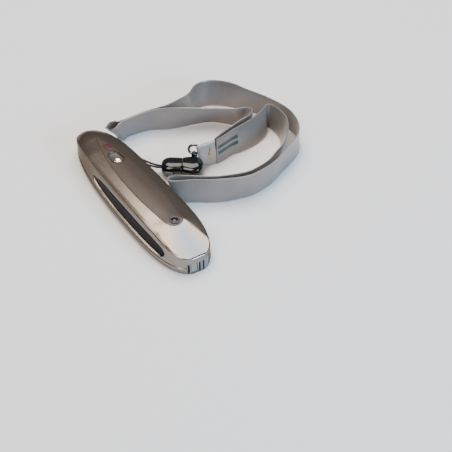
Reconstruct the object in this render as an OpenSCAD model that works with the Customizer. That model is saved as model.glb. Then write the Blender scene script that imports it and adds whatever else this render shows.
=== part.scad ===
// Pocket banknote checker: a slim pod that is pushed over a note, with a test button and a
// status lamp on top, sensors in its blunt front end, and a looped neck lanyard at its tail.
// The front end points to -Y, the top to +Z, and the pod's middle stands on the origin.

/* [Body] */
// Length of the pod from front end to tail
body_l = 113.6; // [108:0.2:120]
// Greatest width of the pod, at its lower lip
body_w = 28.4; // [27:0.2:31]
// Height of the top's crown above the base
crown_z = 16.3; // [16:0.1:18]
// Height of the joint between the upper and the lower housing
part_z = 4.0; // [3.6:0.1:4.4]
// Wall thickness of both housings
wall = 1.4; // [1.2:0.1:1.6]

/* [Front end] */
// Height of the front rim, where the sloping nose meets the front wall
nose_z = 9.0; // [8.6:0.1:9.8]
// Rise of the nose for each millimetre towards the tail
nose_slope = 0.366; // [0.34:0.002:0.4]
// Width of the sensor bezel in the front wall
bezel_w = 11.2; // [10:0.2:12]
// Top of the sensor bezel
bezel_top = 6.4; // [6:0.1:6.8]

/* [Top panel] */
// Greatest width of the dark panel set into the top
panel_w = 13.0; // [12:0.2:14]
// Front end of the panel
panel_front = -39.6; // [-40:0.1:-38.4]
// Pointed tail end of the panel
panel_rear = 40.0; // [36:0.5:41]
// How far the panel stands proud of the housing
panel_proud = 0.2; // [0.1:0.05:0.3]

/* [Test button] */
// Diameter of the chrome test button
button_d = 4.4; // [4:0.1:4.8]
// Travel of the test button
button_travel = 0.6; // [0.4:0.05:0.6]
// Place of the test button along the pod
button_y = 17.6; // [16:0.2:19]

/* [Lamp] */
// Diameter of the status lamp
lamp_d = 3.0; // [2.6:0.1:3.2]
// Place of the status lamp along the pod
lamp_y = -36.4; // [-36.8:0.1:-35.8]

/* [Battery bay] */
// Diameter of one button cell
cell_d = 11.6; // [11:0.1:11.6]
// Thickness of one button cell
cell_h = 5.4; // [5:0.1:5.4]
// Front end of the stack of cells
cell_y = 23.8; // [23.4:0.1:24.4]
// Front edge of the sliding tail cover
cover_y = 19.0; // [18:0.5:21]

/* [Lanyard] */
// Diameter of the lanyard string
string_d = 1.1; // [1:0.1:1.2]
// Width of the neck ribbon
ribbon_w = 15.0; // [14:0.5:15]
// Thickness of the neck ribbon
ribbon_t = 0.8; // [0.6:0.1:0.9]

/* [Hidden] */
$fn = 48;

front_y = -body_l / 2;
rear_y = body_l / 2;
wide_y = -14;
gap = 0.15;
seam_gap = 0.2;

// Colours of the painted housings, the panel and the black trim
silver = [0.72, 0.69, 0.65];
panel_brown = [0.27, 0.23, 0.19];
trim_black = [0.05, 0.05, 0.06];
steel = [0.75, 0.76, 0.78];
ribbon_grey = [0.62, 0.62, 0.64];

// ---- Outer shape of the pod, as functions of the place along it ----

// Half width at the lower lip: two different halves of a superellipse
function lip_half(y) =
    y < wide_y
    ? body_w / 2 * pow(1 - pow((wide_y - y) / (wide_y - front_y + 0.02), 3), 0.35)
    : body_w / 2 * pow(1 - pow((y - wide_y) / (rear_y - wide_y + 0.02), 2.2), 0.455);
// Half width at the ridge where the side meets the top, and just below it
function fullness(y) = pow(2 * lip_half(y) / body_w, 4);
function ridge_half(y) = lip_half(y) - 2.4 * fullness(y);
function side_half(y) = ridge_half(y) + 0.45 * fullness(y);
// Height of the top along the middle: sloping nose, shallow crown, rounded tail
tail_start = 38;
function crown(y) = crown_z - 0.0005 * pow(y + 5, 2);
function tail_drop(y) = pow(1 - pow((y - tail_start) / (rear_y - tail_start + 0.1), 2.2), 0.6);
function top_z(y) =
    y > tail_start
    ? 6.5 + (crown(tail_start) - 6.5) * tail_drop(y)
    : min(crown(y), nose_z + nose_slope * (y - front_y));
// Height of the ridge: level with the nose at the front, and below the crown behind it
function ridge_z(y) =
    top_z(y) - 2.2 * min(1, (y - front_y) / 18) * pow(2 * lip_half(y) / body_w, 1.5)
    - 0.3 * (top_z(y) - 6.5) * max(0, (y - 30) / (rear_y - 30));
// Height of the underside, which rises towards the tail
function base_z(y) = y < 40 ? 0 : 3 * pow((y - 40) / (rear_y - 40), 2);
// Height of the top surface at a distance x from the middle
function arch_z(x, y) =
    top_z(y) - (top_z(y) - ridge_z(y)) * pow(min(1, abs(x) / ridge_half(y)), 1.8);

// One half of the section at y, from the base up to the middle of the top, moved inwards by t
function half_section(y, t, flat_top) =
    let (
        w = lip_half(y) - t,
        r = ridge_half(y) - t,
        b = base_z(y) + t,
        low = max(2.6, b + 1),
        side_top = min(11.3, ridge_z(y) - t - 1.2)
    )
    [
        [w * 0.82, b],
        [w * 0.94, b + 0.7],
        [w, low],
        [w * 0.96, low + 2.4],
        [side_half(y) - t, max(side_top, low + 2.8)],
        [r, ridge_z(y) - t],
        [r * 0.8, min(flat_top, arch_z(ridge_half(y) * 0.8, y) - t)],
        [r * 0.5, min(flat_top, arch_z(ridge_half(y) * 0.5, y) - t)],
        [0.3, min(flat_top, top_z(y) - t)]
    ];
function section(y, t, flat_top) =
    let (h = half_section(y, t, flat_top), n = len(h))
    concat(
        [for (p = h) [p[0], y, p[1]]],
        [for (i = [n - 1 : -1 : 0]) [-h[i][0], y, h[i][1]]]
    );

// A closed solid through a list of rings that all have the same number of points
module loft(rings) {
    n = len(rings[0]);
    last = len(rings) - 1;
    sides = [
        for (i = [0 : last - 1])
            for (j = [0 : n - 1])
                let (a = i * n + j, b = i * n + (j + 1) % n)
                each [[a, b, b + n], [a, b + n, a + n]]
    ];
    // Each cap is a stack of strips from one half of the ring to the other
    caps = [
        for (j = [0 : n / 2 - 2])
            let (a = j, b = j + 1, c = n - 2 - j, d = n - 1 - j, m = last * n)
            each [[a, d, c], [a, c, b], [m + a, m + b, m + c], [m + a, m + c, m + d]]
    ];
    polyhedron(points = [for (r = rings) each r], faces = concat(sides, caps), convexity = 4);
}

outer_stations = concat(
    [for (s = [0.15, 0.5, 1.1, 2.2, 3.8, 6, 9, 13]) front_y + s],
    [for (y = [-38.4, -33, -24, -14, -2, 10, 20, 28, 34]) y],
    [for (s = [18.8, 14.5, 10.5, 7.2, 4.4, 2.4, 1.1, 0.3]) rear_y - s]
);
inner_stations = concat(
    [for (s = [2.6, 3.8, 6, 9, 13]) front_y + s],
    [for (y = [-38.4, -30, -14, 2, 16, 28, 38, 44, 49]) y]
);
no_limit = 100;
ceiling_z = 13.6;

module pod_outer(t = 0) {
    loft([for (y = outer_stations) section(y, t, no_limit)]);
}
module pod_inner() {
    loft([for (y = inner_stations) section(y, wall, ceiling_z)]);
}
module above(z) {
    translate([-30, -80, z]) cube([60, 160, 30]);
}
module below(z) {
    translate([-30, -80, z - 30]) cube([60, 160, 30]);
}
// Everything behind the plane y
module behind(y) {
    translate([-30, y, -10]) cube([60, 100, 40]);
}
module in_front_of(y) {
    translate([-30, y - 100, -10]) cube([60, 100, 40]);
}

// ---- Outlines cut into the pod ----

// Lens shape of the top panel: widest a little ahead of the middle, pointed at the tail
panel_mid = -8;
nose_r = 4.7;
function panel_half(y) =
    y > panel_mid
    ? panel_w / 2 * pow(1 - pow((y - panel_mid) / (panel_rear - panel_mid), 2.1), 0.8)
    : nose_r + (panel_w / 2 - nose_r) * cos(90 * (panel_mid - y) / (panel_mid - panel_front - nose_r));
panel_rows = [for (k = [0 : 6]) panel_front + nose_r + k * (panel_mid - panel_front - nose_r) / 6];
tail_rows = [for (k = [1 : 10]) panel_mid + (panel_rear - panel_mid) * (1 - pow(1 - k / 10, 1.6))];
nose_arc = [for (a = [-80 : 16 : 0]) [nose_r * cos(a), panel_front + nose_r + nose_r * sin(a)]];
module panel_outline() {
    right = concat(
        nose_arc,
        [for (i = [1 : len(panel_rows) - 1]) [panel_half(panel_rows[i]), panel_rows[i]]],
        [for (i = [0 : len(tail_rows) - 2]) [panel_half(tail_rows[i]), tail_rows[i]]],
        [[0.25, panel_rear]]
    );
    polygon(concat(right, [for (i = [len(right) - 1 : -1 : 0]) [-right[i][0], right[i][1]]]));
}

// Side view of the long side recess: blunt at the front, drawn out to a point at the tail
recess_outline = [
    [-43.4, 4.7], [-45.4, 5.8], [-46, 8], [-45, 9.6], [-42, 10.6], [-36, 11.1], [-10, 11.3],
    [9, 11.1], [16, 10], [24, 7.9], [21, 6.1], [14, 5.2], [-2, 4.7]
];
module recess_side(side) {
    mirror([side < 0 ? 1 : 0, 0, 0])
        translate([8.9, 0, 0]) rotate([90, 0, 90]) linear_extrude(20) polygon(recess_outline);
}

// Where the four screws stand
screw_x = 7.0;
screw_rows = [-27, 9];
module at_screws() {
    for (x = [-screw_x, screw_x])
        for (y = screw_rows)
            translate([x, y, 0]) children();
}

// ---- Housings ----

panel_floor = 14.7;
// The notch in the tail that the lanyard pin crosses
notch_w = 4.2;
notch_y = 51.4;
notch_low = 5.2;
notch_top = 8.6;
pin_r = 0.6;
pin_y = 54.2;
pin_low = 4.6;
pin_top = 9.6;

module sensor_cut(grow) {
    translate([-bezel_w / 2 - grow, front_y - 2, 0.6 - grow])
        cube([bezel_w + 2 * grow, 5.4 + grow, bezel_top - 0.6 + 2 * grow]);
}

module upper_housing() {
    color(silver)
    difference() {
        union() {
            difference() {
                pod_outer();
                below(part_z);
                pod_inner();
            }
            at_screws() translate([0, 0, part_z + 0.1]) cylinder(r = 1.8, h = ceiling_z - part_z + 0.3);
        }
        translate([0, 0, panel_floor]) linear_extrude(10) panel_outline();
        recess_side(1);
        recess_side(-1);
        sensor_cut(0);
        at_screws() translate([0, 0, part_z]) cylinder(r = 0.7, h = 7.4);
        translate([0, button_y, 10]) cylinder(d = button_d + 0.2, h = 10);
        translate([0, lamp_y, 10]) cylinder(d = lamp_d + 0.2, h = 10);
        translate([-notch_w / 2, notch_y, notch_low]) cube([notch_w, 10, notch_top - notch_low]);
        translate([0, pin_y, pin_low]) cylinder(r = pin_r, h = pin_top - pin_low);
    }
}

module lower_housing() {
    color(silver)
    difference() {
        union() {
            difference() {
                pod_outer();
                above(part_z);
                pod_inner();
            }
            at_screws() cylinder(r = 2.6, h = part_z);
        }
        behind(cover_y);
        sensor_cut(0);
        at_screws() translate([0, 0, -1]) cylinder(r = 1.9, h = 2.8);
        at_screws() cylinder(r = 0.9, h = 10);
        for (x = [-3, 0, 3]) translate([x, -12, -1]) cylinder(r = 0.5, h = 4);
    }
}

// The tail of the underside, which slides back off the cells
module battery_cover() {
    color(silver)
    difference() {
        pod_outer();
        above(part_z - seam_gap);
        in_front_of(cover_y + seam_gap);
        pod_inner();
        for (k = [0 : 4])
            translate([-5, 26 + k * 2.2, -0.6]) cube([10, 1, 1.0]);
    }
}

// ---- Top ----

scoop_w = 6.8;
scoop_l = 10.4;
scoop_floor = 15.0;
module scoop_outline() {
    hull() {
        translate([0, button_y - 0.1]) circle(d = scoop_w);
        translate([0, button_y + scoop_l - scoop_w]) circle(d = scoop_w - 1);
    }
}
mark_place = [0.7, 29.4];
module mark_outline(grow) {
    translate(mark_place) square([3.2 + grow, 4.4 + grow], center = true);
}
module top_panel() {
    color(panel_brown)
    difference() {
        intersection() {
            pod_outer(-panel_proud);
            translate([0, 0, panel_floor]) linear_extrude(10) offset(delta = -0.05) panel_outline();
        }
        translate([0, 0, scoop_floor]) linear_extrude(10) scoop_outline();
        translate([0, button_y, 10]) cylinder(d = button_d + 0.2, h = 10);
        translate([0, lamp_y, 10]) cylinder(r = lamp_d / 2 + 0.85, h = 10);
        translate([0, 0, 15.3]) linear_extrude(10) mark_outline(0);
    }
}
// A plain coloured inlay behind the button
module panel_mark() {
    color([0.5, 0.08, 0.1])
    intersection() {
        pod_outer(-panel_proud);
        translate([0, 0, 15.3]) linear_extrude(10) mark_outline(-0.04);
    }
}

// The button, its flange under the housing and its domed cap
flange_z = 13.0;
button_top = 16.7;
dome_r = 3.2;
module test_button() {
    color(steel)
    translate([0, button_y, 0])
    intersection() {
        union() {
            translate([0, 0, flange_z]) cylinder(d = button_d + 1.4, h = 0.5);
            translate([0, 0, flange_z]) cylinder(d = button_d, h = 5);
        }
        translate([0, 0, button_top - dome_r]) union() {
            sphere(r = dome_r);
            translate([0, 0, -10]) cylinder(r = 5, h = 10);
        }
    }
}

board_z = 9.2;
board_t = 1.0;
board_top = board_z + board_t;
// Height of the plunger above the switch, and the switch's well that it sinks into
plunger_h = 1.4;
well_z = flange_z - plunger_h - button_travel - 0.3;
module switch_plunger() {
    color(trim_black)
    translate([0, button_y, flange_z - plunger_h]) cylinder(r = 1.5, h = plunger_h);
}
module tact_switch() {
    color([0.3, 0.3, 0.32])
    translate([0, button_y, board_top])
    difference() {
        translate([-3, -3, 0]) cube([6, 6, 1.9]);
        translate([0, 0, well_z - board_top]) cylinder(r = 1.6, h = 5);
    }
}

module lamp_bezel() {
    color([0.35, 0.32, 0.36])
    translate([0, lamp_y, panel_floor])
    difference() {
        cylinder(r = lamp_d / 2 + 0.8, h = 1.75);
        translate([0, 0, -1]) cylinder(r = lamp_d / 2 + 0.05, h = 5);
    }
}
module status_lamp() {
    color([0.1, 0.06, 0.05])
    translate([0, lamp_y, 0]) {
        translate([0, 0, 11.6]) cylinder(d = lamp_d, h = 3.3);
        translate([0, 0, 14.9]) sphere(d = lamp_d);
        for (x = [-0.7, 0.7])
            translate([x, 0, board_top]) cylinder(r = 0.25, h = 1.5);
    }
}

// ---- Side grips: dark inlays set back in the long side recesses ----

// Lower and upper edge of the inlay, as [place along the pod, height]
grip_low = [[-45.7, 7.4], [-43.4, 4.85], [-2, 4.85], [14, 5.35], [21, 6.3], [23.4, 7.7]];
grip_high = [[-45.7, 8.1], [-42, 10.4], [-36, 10.9], [-10, 11.15], [9, 10.95], [16, 9.85], [23.4, 7.9]];
grip_stations = [-45.7, -45, -43.4, -42, -36, -24, -10, 0, 9, 14, 16, 19, 21, 23.4];
// Half width of the pod's side between the lip and the ridge, at the height z
function side_x(y, z) =
    let (f = (z - 5) / 6.3)
    lip_half(y) * 0.96 * (1 - f) + side_half(y) * f;
function grip_ring(y) =
    let (low = lookup(y, grip_low), high = lookup(y, grip_high), front = 0.8, back = 2.0)
    [
        [side_x(y, low) - back, y, low], [side_x(y, low) - front, y, low],
        [side_x(y, high) - front, y, high], [side_x(y, high) - back, y, high]
    ];
module side_grip(side) {
    color(trim_black)
    mirror([side < 0 ? 1 : 0, 0, 0]) loft([for (y = grip_stations) grip_ring(y)]);
}
module side_grip_left() {
    side_grip(-1);
}
module side_grip_right() {
    side_grip(1);
}

// ---- Front sensors ----

window_w = 3.0;
window_x = -2.1;
slot_w = 0.7;
slot_places = [-4.8, 0.5, 2.5];
bezel_back = front_y + 3.4;
module sensor_bezel() {
    color([0.55, 0.54, 0.52])
    difference() {
        intersection() {
            pod_outer();
            sensor_cut(-0.03);
        }
        translate([window_x - window_w / 2, front_y - 2, 1.2]) cube([window_w, 10, bezel_top - 2]);
        for (x = slot_places)
            translate([x - slot_w / 2, front_y - 2, 0.9]) cube([slot_w, 3.8, bezel_top - 1.5]);
        for (x = [-4.8, 2.5])
            translate([x, front_y - 2, 3.6]) rotate([-90, 0, 0]) cylinder(r = 0.33, h = 10);
    }
}
module sensor_window() {
    color([0.5, 0.58, 0.52, 0.6])
    intersection() {
        pod_outer(0.1);
        translate([window_x - window_w / 2 + 0.03, front_y - 1, 1.23])
            cube([window_w - 0.06, 4.3, bezel_top - 2.06]);
    }
}
module magnetic_head() {
    color([0.4, 0.38, 0.36])
    translate([window_x, 0, 0])
    difference() {
        union() {
            translate([-2.6, bezel_back + 0.2, 1.6]) cube([5.2, 6.6, 4.2]);
            translate([-0.9, board_front + 0.1, 5.8]) cube([2.2, 1.6, board_z - 5.8]);
        }
        translate([-0.1, bezel_back, 1]) cube([0.2, 0.9, 6]);
    }
}
module infrared_cell(x) {
    translate([x, bezel_back + 0.2, 6.7]) rotate([-90, 0, 0]) cylinder(r = 0.9, h = 3);
    translate([x - 0.25, bezel_back + 3.1, 6.5]) cube([0.5, board_front - bezel_back - 1.8, 0.4]);
    translate([x - 0.25, board_front + 0.8, 6.5]) cube([0.5, 0.5, board_z - 6.5]);
}
module infrared_emitter() {
    color([0.5, 0.55, 0.7]) infrared_cell(-3.6);
}
module infrared_detector() {
    color([0.12, 0.12, 0.14]) infrared_cell(3.6);
}

// ---- Electronics ----

board_half = 5.0;
board_front = -48.3;
board_rear = 21.6;
module circuit_board() {
    color([0.1, 0.32, 0.16])
    translate([0, 0, board_z])
    linear_extrude(board_t)
    difference() {
        translate([-board_half, board_front]) square([2 * board_half, board_rear - board_front]);
        for (x = [-board_half, board_half])
            translate([x, board_front]) rotate(45) square(2.6, center = true);
    }
}
module control_chip() {
    color(trim_black)
    translate([-2.6, -8, board_top]) cube([5.2, 7.4, 1.3]);
}
module amplifier_chip() {
    color(trim_black)
    translate([-2, -24, board_top]) cube([4, 5, 1.2]);
}
buzzer_y = -12;
module buzzer() {
    color([0.08, 0.08, 0.08])
    translate([0, buzzer_y, board_z - 4.2])
    difference() {
        cylinder(r = 5.8, h = 4.2);
        translate([0, 0, -1]) cylinder(r = 1, h = 1.6);
    }
}

// ---- Power ----

cell_z = wall + gap + cell_d / 2;
holder_half = cell_d / 2 + 0.15;
stack_end = cell_y + 3 * cell_h;
module battery_holder() {
    color(trim_black)
    difference() {
        translate([-holder_half - 0.9, cell_y - 1.7, part_z + 0.4])
            cube([2 * holder_half + 1.8, 3 * cell_h + 2.9, 7.2]);
        translate([-holder_half, cell_y - 0.9, 0]) cube([2 * holder_half, 3 * cell_h + 1.3, 20]);
    }
}
module battery_cell(k) {
    color(steel)
    translate([0, cell_y + k * cell_h + 0.02, cell_z]) rotate([-90, 0, 0]) {
        cylinder(d = cell_d, h = cell_h - 0.6);
        cylinder(d = cell_d - 2.2, h = cell_h - 0.04);
    }
}
module battery_cell_1() {
    battery_cell(0);
}
module battery_cell_2() {
    battery_cell(1);
}
module battery_cell_3() {
    battery_cell(2);
}
// A flat spring bent to touch the first cell, and a plain plate behind the last one
module battery_spring() {
    color(steel)
    translate([0, cell_y - 0.88, cell_z]) {
        translate([-2, 0, -3]) cube([4, 0.2, 6]);
        rotate([-90, 0, 0]) cylinder(r = 1.6, h = 0.88);
    }
}
module battery_contact() {
    color(steel)
    translate([-2, stack_end + 0.06, cell_z - 3]) cube([4, 0.3, 6]);
}

module housing_screws() {
    color(steel)
    at_screws() difference() {
        union() {
            translate([0, 0, 0.7]) cylinder(r = 1.75, h = 1.1);
            translate([0, 0, 1.7]) cylinder(r = 0.7, h = 8.2);
        }
        translate([-0.25, -1.2, 0]) cube([0.5, 2.4, 1.1]);
        translate([-1.2, -0.25, 0]) cube([2.4, 0.5, 1.1]);
    }
}
module lanyard_pin() {
    color(steel)
    translate([0, pin_y, pin_low]) cylinder(r = pin_r, h = pin_top - pin_low);
}

// ---- Lanyard: string, clip, ring and ribbon, lying beside the pod ----

function unit(v) = v / norm(v);
// Direction of travel at point i of a route
function heading(route, i) =
    unit(route[min(i + 1, len(route) - 1)] - route[max(i - 1, 0)]);

// Points that the string passes: out of the clip, round the tail pin and back beside itself
string_route = [
    [23.2, 14.7, 4.2], [20.4, 17.6, 4.4], [16.6, 24.6, 4.8], [14.9, 30.4, 5.2], [13.3, 37, 5.6],
    [11.6, 43.8, 5.9], [9.4, 50.2, 6.2], [7, 54.8, 6.3], [4.3, 58, 6.3], [1.2, 58.9, 6.3],
    [-1, 57.4, 6.4], [-1.2, 55, 6.5], [-0.7, 53.1, 6.6], [0.7, 53.1, 6.6], [1.2, 55.2, 6.5],
    [2.4, 57.1, 6.4], [4.4, 56, 6.3], [6, 53.4, 6.3], [7.7, 50, 6.2], [9.9, 43.6, 5.9],
    [11.6, 36.8, 5.6], [13, 30, 5.2], [14.6, 24.2, 4.8], [19, 16.6, 4.4], [22.5, 13.7, 4.2]
];
string_sides = 8;
function string_ring(i) =
    let (
        t = heading(string_route, i),
        s = unit(cross(t, [0, 0, 1])),
        u = cross(s, t)
    )
    [
        for (k = [0 : string_sides - 1])
            let (a = 360 * k / string_sides)
            string_route[i] + string_d / 2 * (cos(a) * s + sin(a) * u)
    ];
module lanyard_string() {
    color([0.03, 0.03, 0.03])
    loft([for (i = [0 : len(string_route) - 1]) string_ring(i)]);
}

// The clip's own frame: its long axis runs from the string to the ring
clip_place = [30.7, 8.7, 4.3];
clip_turn = -35;
clip_half = 10.7;
ring_place = [5.7, 4.7, 7.6];
ring_r = 2.7;
ring_wire = 0.65;
module at_clip() {
    translate(clip_place) rotate([0, 0, clip_turn]) children();
}
module ring_shape(wire) {
    translate(ring_place) rotate([90, 0, 0]) rotate_extrude() translate([ring_r, 0]) circle(r = wire, $fn = 20);
}
module lobe(from, to, r, spread) {
    hull()
        for (v = [-spread, spread])
            for (u = [from + r, to - r])
                translate([u, v, 0]) sphere(r = r, $fn = 28);
}
tab_size = [4.4, 1.6, 2.2];
tab_place = [-6.4, -5.9, -1.4];
module clip_socket() {
    color(trim_black)
    at_clip() difference() {
        lobe(-clip_half, 2.6, 3.9, 1.6);
        translate([-0.1, -10, -10]) cube([20, 20, 20]);
        translate([-clip_half - 1, 0, 0]) rotate([0, 90, 0]) cylinder(r = 1.5, h = 3.4);
        translate(tab_place - [tab_size[0] / 2 + 0.15, 0.5, 0.15])
            cube([tab_size[0] + 0.3, tab_size[1] + 1.6, tab_size[2] + 0.3]);
    }
}
module plug_shape(grow) {
    lobe(-3, clip_half + grow, 4.2 + grow, 2.2);
}
// The plug carries a small eye that the ring passes through
module clip_plug() {
    color(trim_black)
    at_clip() difference() {
        union() {
            plug_shape(0);
            hull() {
                translate(ring_place - [0, 0, ring_r]) sphere(r = 1.5, $fn = 24);
                translate([ring_place[0], 4, 2.2]) sphere(r = 1.3, $fn = 24);
            }
        }
        translate([-20.1, -10, -10]) cube([20.2, 20, 20]);
        ring_shape(ring_wire + 0.2);
    }
}
// The sprung tab on the side of the clip that frees its two halves
module clip_release_tab() {
    color([0.3, 0.3, 0.3])
    at_clip() translate(tab_place - [tab_size[0] / 2, 0, 0]) cube(tab_size);
}
module clip_ring() {
    color(steel)
    at_clip() ring_shape(ring_wire);
}

// Places that the ribbon passes, as [x, y, x and y offset of its top edge from its lower edge].
// It stands on its edge in two turns, folded back beside the pod and behind its tail.
ribbon_route = [
    [49.3, 6.3, -1.4, -0.2], [54, 7.3, 0, 0.4], [60, 8.9, 0, 0.8], [66, 9.5, 0, 2.6],
    [73.5, 10.8, 0, 3.6], [80.5, 13.2, -1, 4], [85, 15.8, -1, 3], [88.8, 19, 0, 0],
    [90.2, 16.8, 1, 0], [90, 7, 2, -2], [87, 0.6, 2, -3], [82, -5.6, 2, -4],
    [76.2, -10.4, 1, -5], [69.8, -13.6, 0, -6], [62.8, -17.3, 0, -6], [56, -19, 0, -6],
    [49.4, -20, 0, -5.4], [36, -16, 0, -5], [30, -14, -1, -3], [18.8, -7.4, -4, 1],
    [15, -7.8, -4.4, 2], [16, -10, -4.4, 1], [24.4, -15.4, -2, 0], [30, -19, 0, -1],
    [36.6, -22.3, 0, -1], [43.6, -24.7, 0, -2], [50, -25.6, 0, -2], [63, -23, 0, -2],
    [72.2, -18.6, 0, -2], [80.8, -14.4, -1, -2], [88.6, -9.2, -2, -2], [93.6, -2.6, -2, -1],
    [96, 5, -2, 0], [96.2, 12.2, -2, 0], [93.2, 25.6, -2, -1], [87.2, 38, 0, -1],
    [84, 44.8, 1, 1], [79.2, 51, 1, 3], [73, 54.8, 0, 3], [66.6, 54.6, -1, 1],
    [60, 51, -1, -1.6], [53, 49.8, 0, -2.8], [45, 50, 0, -4.6], [36, 51, 0, -4.8],
    [28, 51.4, -2, -5], [20.6, 52.2, -6.4, -5.2], [17, 51.9, -9, -4.6], [15.2, 50.4, -10, -4],
    [17, 49, -9, -3.6], [21, 49.4, -6, -3.8], [28, 49.4, -2, -3.6], [36, 48.4, 0, -3.2],
    [44, 44.6, 0, -2], [52, 41.4, 0, -4], [59.6, 38.6, -1, -6], [66, 35.6, -2, -6.4],
    [70.8, 31, -3, -5], [75, 26.4, -3, -3], [78.8, 22.8, -1, -1], [79.6, 20, 0, -1],
    [76.6, 17.4, 0, -2], [68, 15.4, 0, -2.6], [62, 14.4, 0, -4], [55, 11.2, 0, -2.6],
    [49.3, 7.5, -1.4, -0.2]
];
floor_gap = 0.35;
function ribbon_up(p) =
    let (h = sqrt(ribbon_w * ribbon_w - p[2] * p[2] - p[3] * p[3]))
    [p[2], p[3], h] / ribbon_w;
function ribbon_centre(p) = [p[0], p[1], ribbon_w * ribbon_up(p)[2] / 2 + floor_gap];
function ribbon_ring(i) =
    let (
        here = [for (p = ribbon_route) ribbon_centre(p)],
        t = heading(here, i),
        u = ribbon_up(ribbon_route[i]),
        s = unit(cross(t, u)),
        hw = ribbon_w / 2,
        ht = ribbon_t / 2
    )
    [
        for (c = [[-1, -0.9], [-0.5, -1], [0.5, -1], [1, -0.9], [1, 0.9], [0.5, 1], [-0.5, 1], [-1, 0.9]])
            here[i] + c[1] * hw * u + c[0] * ht * s
    ];
module neck_ribbon() {
    color(ribbon_grey)
    loft([for (i = [0 : len(ribbon_route) - 1]) ribbon_ring(i)]);
}

// The two ribbon ends sewn together round the ring, as a leaning strap
tab_start = [39.6, 8];
tab_end = [49.2, 6.9];
tab_up = ribbon_up([0, 0, -2.6, -0.4]);
// Four corners of the strap at a fraction f of its length, between two distances to its side
function strap_ring(f, half_w, near, far) =
    let (
        run = tab_end - tab_start,
        side = unit(cross(unit([run[0], run[1], 0]), tab_up)),
        flat = tab_start + f * run,
        c = [flat[0], flat[1], tab_up[2] * ribbon_w / 2 + floor_gap]
    )
    [
        c - half_w * tab_up + near * side, c + half_w * tab_up + near * side,
        c + half_w * tab_up + far * side, c - half_w * tab_up + far * side
    ];
strap_half_t = 1.1;
module sewn_tab() {
    color(ribbon_grey)
    difference() {
        loft([for (f = [0, 1]) strap_ring(f, ribbon_w / 2, strap_half_t, -strap_half_t)]);
        at_clip() ring_shape(ring_wire + 0.15);
        at_clip() plug_shape(0.1);
    }
}
// A brass staple pressed on the strap's outer face
module ribbon_staple() {
    color([0.72, 0.58, 0.25])
    loft([for (f = [0.6, 0.8]) strap_ring(f, 4, strap_half_t + 0.3, strap_half_t)]);
}

upper_housing();
lower_housing();
battery_cover();
top_panel();
panel_mark();
side_grip_left();
side_grip_right();
test_button();
switch_plunger();
tact_switch();
lamp_bezel();
status_lamp();
sensor_bezel();
sensor_window();
magnetic_head();
infrared_emitter();
infrared_detector();
circuit_board();
control_chip();
amplifier_chip();
buzzer();
battery_holder();
battery_spring();
battery_contact();
battery_cell_1();
battery_cell_2();
battery_cell_3();
housing_screws();
lanyard_pin();
lanyard_string();
clip_socket();
clip_plug();
clip_release_tab();
clip_ring();
sewn_tab();
ribbon_staple();
neck_ribbon();
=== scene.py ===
"""Looks of a pocket banknote checker with its neck lanyard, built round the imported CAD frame.

Lengths inside the shape functions are millimetres; add_mesh() turns them into metres.
"""
import math
import bpy
import bmesh
import numpy as np
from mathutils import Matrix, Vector


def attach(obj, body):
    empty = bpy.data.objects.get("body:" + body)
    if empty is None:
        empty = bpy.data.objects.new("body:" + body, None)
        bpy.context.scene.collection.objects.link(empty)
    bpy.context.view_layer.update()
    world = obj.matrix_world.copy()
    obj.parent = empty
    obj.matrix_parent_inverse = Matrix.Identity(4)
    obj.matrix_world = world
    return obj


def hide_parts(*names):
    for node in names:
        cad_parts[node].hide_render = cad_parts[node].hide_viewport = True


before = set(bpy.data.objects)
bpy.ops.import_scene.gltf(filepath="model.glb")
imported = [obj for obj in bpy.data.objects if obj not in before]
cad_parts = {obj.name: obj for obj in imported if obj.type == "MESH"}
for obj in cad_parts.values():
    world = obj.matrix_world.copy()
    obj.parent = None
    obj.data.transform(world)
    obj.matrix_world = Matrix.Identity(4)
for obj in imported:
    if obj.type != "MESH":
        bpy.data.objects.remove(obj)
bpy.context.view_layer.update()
MM = 0.001
RIBBON_W = 15.0
RIBBON_T = 0.8
STRING_D = 1.1
FLOOR_GAP = 0.35

# ---------------- mesh helpers


def add_mesh(name, points, faces):
    """A mesh object in the scene, from points in millimetres."""
    mesh = bpy.data.meshes.new(name)
    mesh.from_pydata([tuple(float(c) * MM for c in p) for p in points], [], faces)
    obj = bpy.data.objects.new(name, mesh)
    bpy.context.collection.objects.link(obj)
    return obj


def build(name, points, faces, body="root", slot=None, angle=32):
    """A piece of the pod or lanyard, smooth except at edges sharper than angle."""
    obj = add_mesh(name, points, faces)
    tidy_mesh(obj, angle)
    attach(obj, body)
    return obj


def tidy_mesh(obj, angle):
    """Faces outwards, smooth shading, and edges sharper than angle kept crisp."""
    bm = bmesh.new()
    bm.from_mesh(obj.data)
    bmesh.ops.remove_doubles(bm, verts=bm.verts, dist=1e-7)
    bmesh.ops.dissolve_degenerate(bm, edges=bm.edges, dist=1e-7)
    bmesh.ops.recalc_face_normals(bm, faces=bm.faces)
    for face in bm.faces:
        face.smooth = True
    for edge in bm.edges:
        edge.smooth = len(edge.link_faces) != 2 or edge.calc_face_angle(0) < math.radians(angle)
    bm.to_mesh(obj.data)
    bm.free()


def loft(rings, caps=True):
    """Points and quads through rings of equal length; each ring is closed."""
    n = len(rings[0])
    points = [p for ring in rings for p in ring]
    faces = []
    for i in range(len(rings) - 1):
        for j in range(n):
            k = (j + 1) % n
            faces.append((i * n + j, i * n + k, (i + 1) * n + k, (i + 1) * n + j))
    if caps:
        m = (len(rings) - 1) * n
        faces.append(tuple(range(n - 1, -1, -1)))
        faces.append(tuple(range(m, m + n)))
    return points, faces


def turn(n):
    """n even angles round a circle."""
    return [2 * math.pi * k / n for k in range(n)]


def bulge(c, power):
    """A cosine or sine bent outwards, so that a circle becomes a rounded box."""
    return math.copysign(abs(c) ** power, c)


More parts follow.
